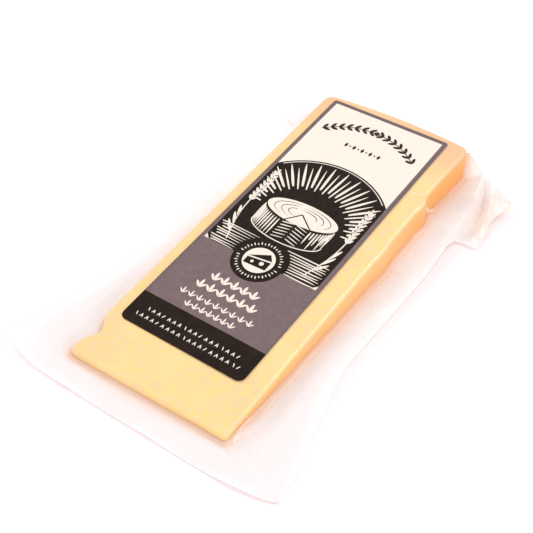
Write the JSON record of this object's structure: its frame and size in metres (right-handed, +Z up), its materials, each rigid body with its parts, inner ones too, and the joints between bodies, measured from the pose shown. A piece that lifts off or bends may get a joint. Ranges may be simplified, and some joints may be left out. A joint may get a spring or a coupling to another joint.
{
  "type": "extra mature cheddar",
  "caption": "Wedge-shaped portion of extra mature cheddar, sealed in a clear pouch with a flat margin and a long printed label on top.",
  "frame": {"origin": "middle of the pouch's box on the surface it rests on", "axes": "+Y along the wedge from its thin nose to its thick rind end, +X across it to the right, +Z up"},
  "size_m": [0.13, 0.212, 0.0234],
  "materials": {
    "pouch": "pale yellow cheese under tight clear film, with a clear film margin",
    "label": "satin printed paper: grey-violet ground, cream panel, near-black band and line-cut picture"
  },
  "bodies": {
    "root": {"pouch": "pouch", "label": "label"}
  },
  "joints": []
}
